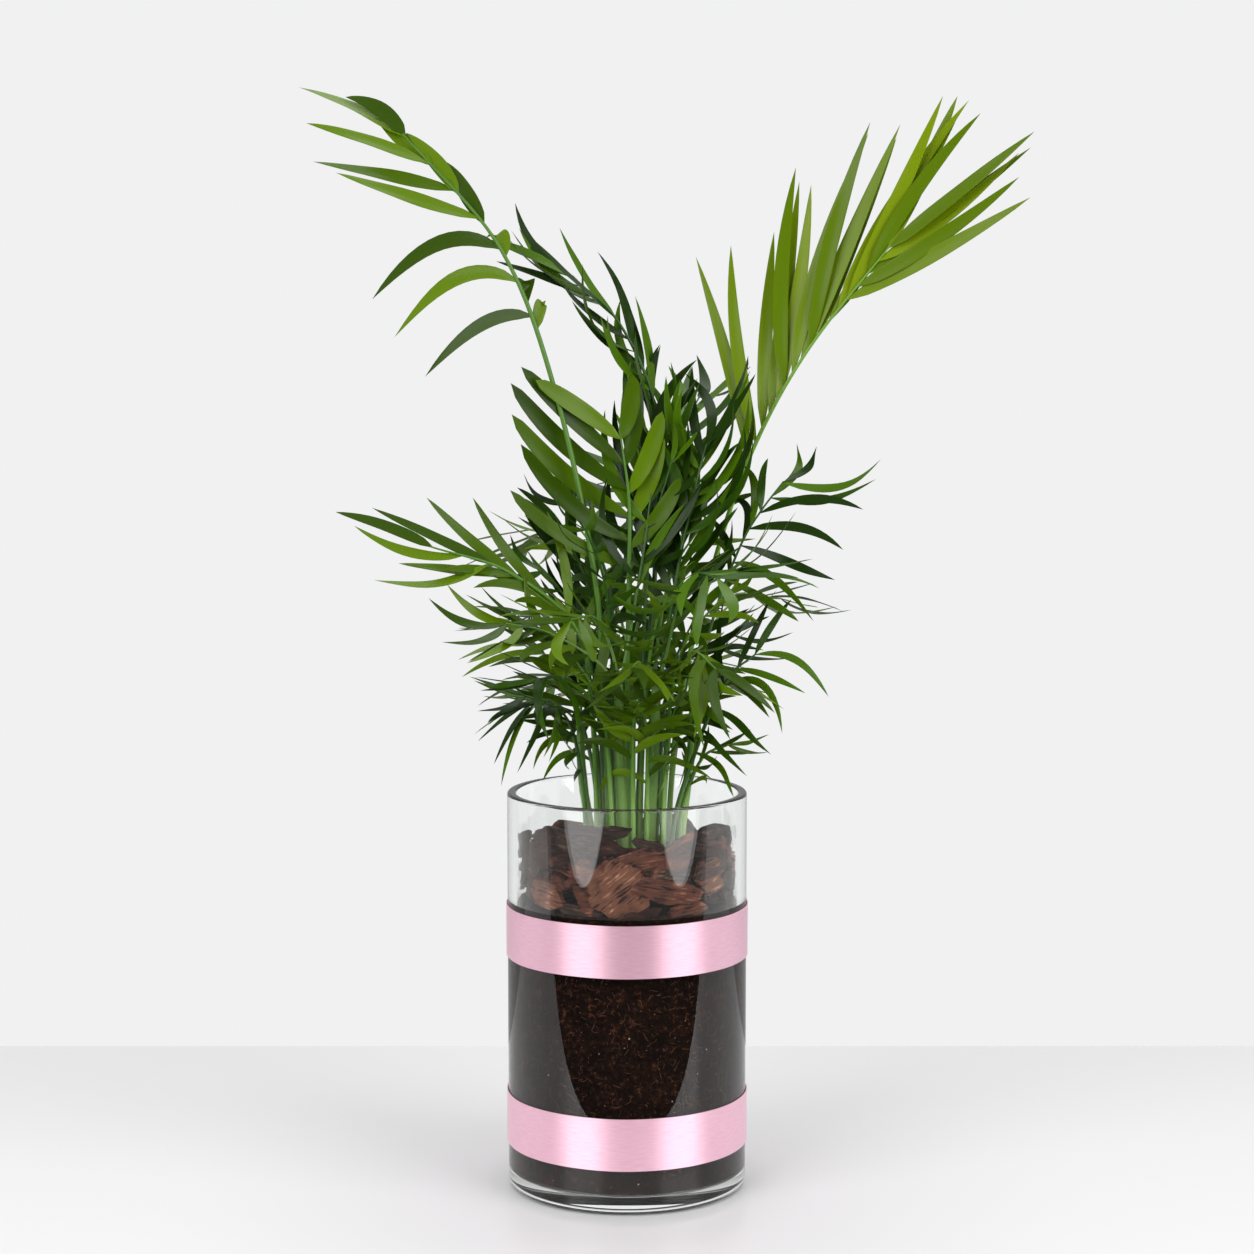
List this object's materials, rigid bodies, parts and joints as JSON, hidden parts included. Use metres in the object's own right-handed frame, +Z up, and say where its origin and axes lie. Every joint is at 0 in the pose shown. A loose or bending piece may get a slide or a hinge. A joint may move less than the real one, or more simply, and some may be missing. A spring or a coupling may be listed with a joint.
{
  "type": "potted parlour palm",
  "caption": "Parlour palm with arching feathery fronds, rooted in soil under bark chips in a clear glass cylinder vase bound with plain satin ribbon.",
  "frame": {"origin": "middle of the vase's flat underside, on the surface it stands on", "axes": "+Z up along the vase's axis; -Y is the side the picture shows; +X is its right"},
  "size_m": [0.3505, 0.3077, 0.5446],
  "materials": {
    "glass": "clear, polished, rounded rim",
    "soil": "moist, matt and fibrous",
    "bark": "split, dry and matt",
    "satin": "smooth satin weave with a sheen",
    "cane": "smooth and green",
    "leaf_dark": "smooth mature leaf, dark green",
    "leaf_mid": "smooth mature leaf, mid green",
    "leaf_young": "smooth new leaf, yellow green"
  },
  "bodies": {
    "root": {"bark": "bark", "cane_back": "cane", "cane_front": "cane", "cane_left": "cane", "cane_right": "cane", "cane_right_front": "cane", "frond_back": "leaf_dark", "frond_back_left": "leaf_mid", "frond_back_right": "leaf_dark", "frond_bright_low": "leaf_mid", "frond_broad": "leaf_mid", "frond_centre_left": "leaf_dark", "frond_centre_right": "leaf_dark", "frond_centre_up": "leaf_dark", "frond_droop_left": "leaf_dark", "frond_front": "leaf_mid", "frond_front_right": "leaf_dark", "frond_inner_back": "leaf_dark", "frond_inner_front": "leaf_mid", "frond_inner_left": "leaf_mid", "frond_inner_right": "leaf_dark", "frond_left_arch": "leaf_dark", "frond_left_low": "leaf_mid", "frond_left_mid": "leaf_mid", "frond_low_back_left": "leaf_dark", "frond_low_back_right": "leaf_mid", "frond_low_front": "leaf_mid", "frond_low_front_left": "leaf_dark", "frond_low_right": "leaf_dark", "frond_right_back": "leaf_mid", "frond_right_mid": "leaf_dark", "frond_rim_right": "leaf_mid", "frond_side_left": "leaf_dark", "frond_tall_left": "leaf_mid", "frond_young_right": "leaf_young", "ribbon_lower": "satin", "ribbon_upper": "satin", "soil": "soil", "vase": "glass"}
  },
  "joints": []
}
